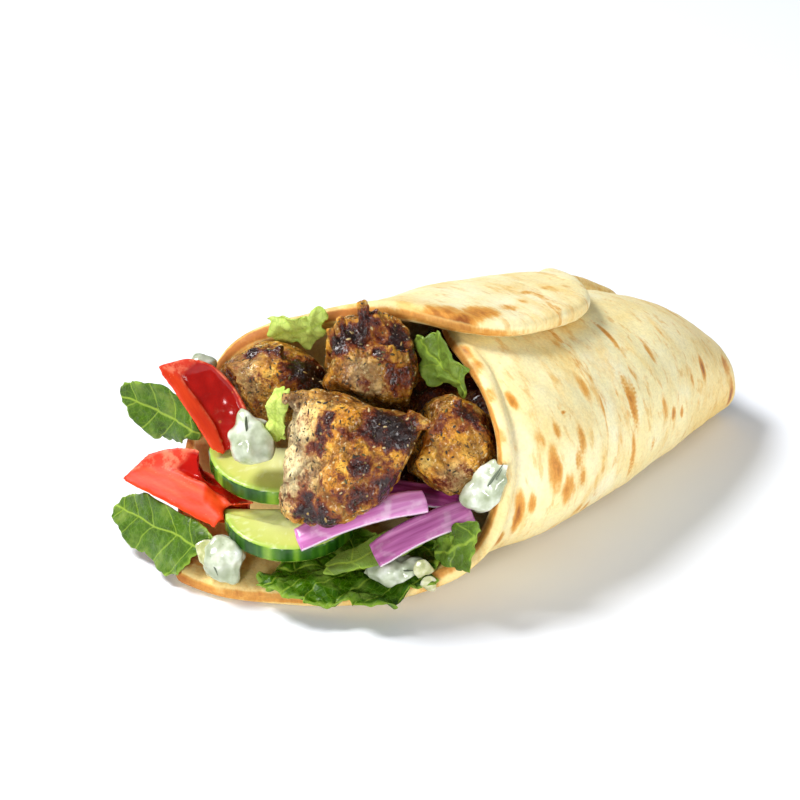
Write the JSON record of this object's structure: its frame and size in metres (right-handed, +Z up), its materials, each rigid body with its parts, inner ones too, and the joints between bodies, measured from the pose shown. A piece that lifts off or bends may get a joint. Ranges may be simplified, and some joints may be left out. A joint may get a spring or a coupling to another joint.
{
  "type": "gyro wrap",
  "caption": "Flatbread rolled into a cone round charred chicken chunks, tomato, cucumber, red onion, lettuce and white yogurt sauce, open at the front.",
  "frame": {"origin": "the point on the floor under the middle of the bounding box", "axes": "+X along the roll from the open mouth to the pinched tail, +Y towards the side where the leaves stick out, +Z up; the bread lies on its flat belly at z = 0"},
  "size_m": [0.2014, 0.131, 0.08],
  "materials": {
    "bread": "soft baked flatbread, pale cream with golden brown spots",
    "chicken": "moist grilled chicken with dark charred ridges and herb specks",
    "tomato": "wet ripe tomato",
    "cucumber": "wet pale flesh with dark green striped skin",
    "onion": "crisp purple onion",
    "lettuce": "fresh leaf with pale veins",
    "sauce": "thick glossy white yogurt sauce with green bits"
  },
  "bodies": {
    "root": {"flatbread": "bread", "chicken_front": "chicken", "chicken_right": "chicken", "chicken_middle": "chicken", "chicken_left": "chicken", "meat_core": "chicken", "tomato_lower": "tomato", "tomato_upper": "tomato", "cucumber_upper": "cucumber", "cucumber_lower": "cucumber", "onion_long": "onion", "onion_near": "onion", "onion_back": "onion", "lettuce_bed": "lettuce", "lettuce_rib": "lettuce", "lettuce_low": "lettuce", "lettuce_left": "lettuce", "lettuce_near": "lettuce", "lettuce_top": "lettuce", "lettuce_back": "lettuce", "lettuce_middle": "lettuce", "sauce_peak": "sauce", "sauce_right": "sauce", "sauce_low": "sauce", "sauce_front": "sauce", "sauce_back": "sauce"}
  },
  "joints": []
}
